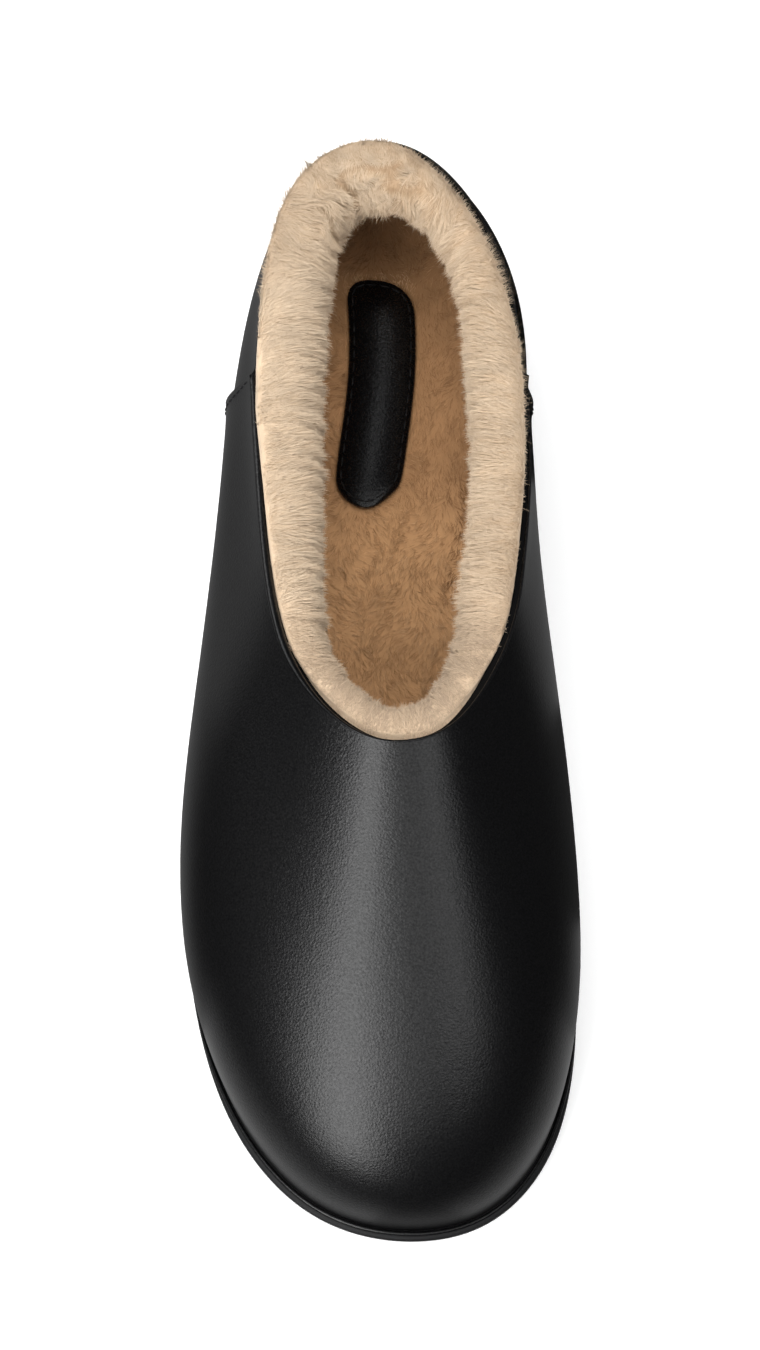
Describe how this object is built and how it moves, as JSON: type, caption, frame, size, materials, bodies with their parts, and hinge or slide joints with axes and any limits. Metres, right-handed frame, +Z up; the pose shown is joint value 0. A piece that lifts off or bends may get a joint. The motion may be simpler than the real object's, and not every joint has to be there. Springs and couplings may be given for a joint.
{
  "type": "shearling mule",
  "caption": "Slip-on house shoe with a smooth black leather upper, low closed back, deep shearling lining rolled over the collar, padded heel pad and rubber sole.",
  "frame": {"origin": "centre of the shoe's box in plan, on the floor under the sole", "axes": "+Z up, +Y from the toe towards the heel, +X towards the inner side of the foot"},
  "size_m": [0.0956, 0.262, 0.0832],
  "materials": {
    "outsole": "matte black moulded rubber",
    "insole": "short tan sheepskin pile",
    "heel_pad": "padded satin black leather",
    "upper": "smooth satin black leather with a fine grain",
    "shearling_lining": "deep pale beige sheepskin pile"
  },
  "bodies": {
    "root": {"outsole": "outsole", "insole": "insole", "heel_pad": "heel_pad", "upper": "upper", "shearling_lining": "shearling_lining"}
  },
  "joints": []
}
